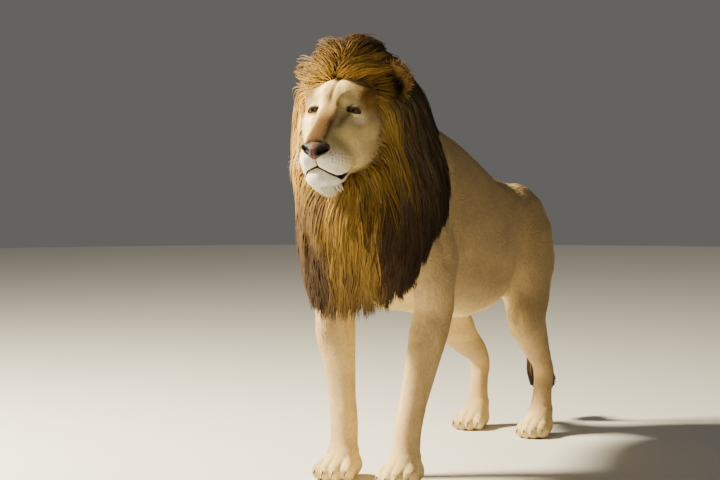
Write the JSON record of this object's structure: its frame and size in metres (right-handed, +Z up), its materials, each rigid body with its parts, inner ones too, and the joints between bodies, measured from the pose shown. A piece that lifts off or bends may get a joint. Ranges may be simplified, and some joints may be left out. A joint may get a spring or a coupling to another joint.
{
  "type": "lion",
  "caption": "Life-size standing male lion with a full mane, head high and level, as a still museum-like model.",
  "frame": {"origin": "centre of the bounding box's footprint, on the floor under the paws", "axes": "+Z up, the lion faces -Y, its left side is +X"},
  "size_m": [0.4412, 1.9734, 1.2696],
  "materials": {
    "short_coat": "short flat fur",
    "gold_mane": "long hair",
    "dark_mane": "long dark hair",
    "nose_leather": "moist bare skin",
    "eye": "wet"
  },
  "bodies": {
    "root": {"head": "short_coat", "lower_jaw": "short_coat", "neck": "short_coat", "chest": "short_coat", "belly": "short_coat", "rump": "short_coat", "tail": "short_coat", "tail_tuft": "dark_mane", "shoulder_left": "short_coat", "shoulder_right": "short_coat", "forearm_left": "short_coat", "forearm_right": "short_coat", "forepaw_left": "short_coat", "forepaw_right": "short_coat", "thigh_left": "short_coat", "thigh_right": "short_coat", "shin_left": "short_coat", "shin_right": "short_coat", "hindpaw_left": "short_coat", "hindpaw_right": "short_coat", "ear_left": "short_coat", "ear_right": "short_coat", "nose": "nose_leather", "eye_left": "eye", "eye_right": "eye", "mane_crown": "gold_mane", "mane_bib": "gold_mane", "mane_left": "dark_mane", "mane_right": "dark_mane"}
  },
  "joints": []
}
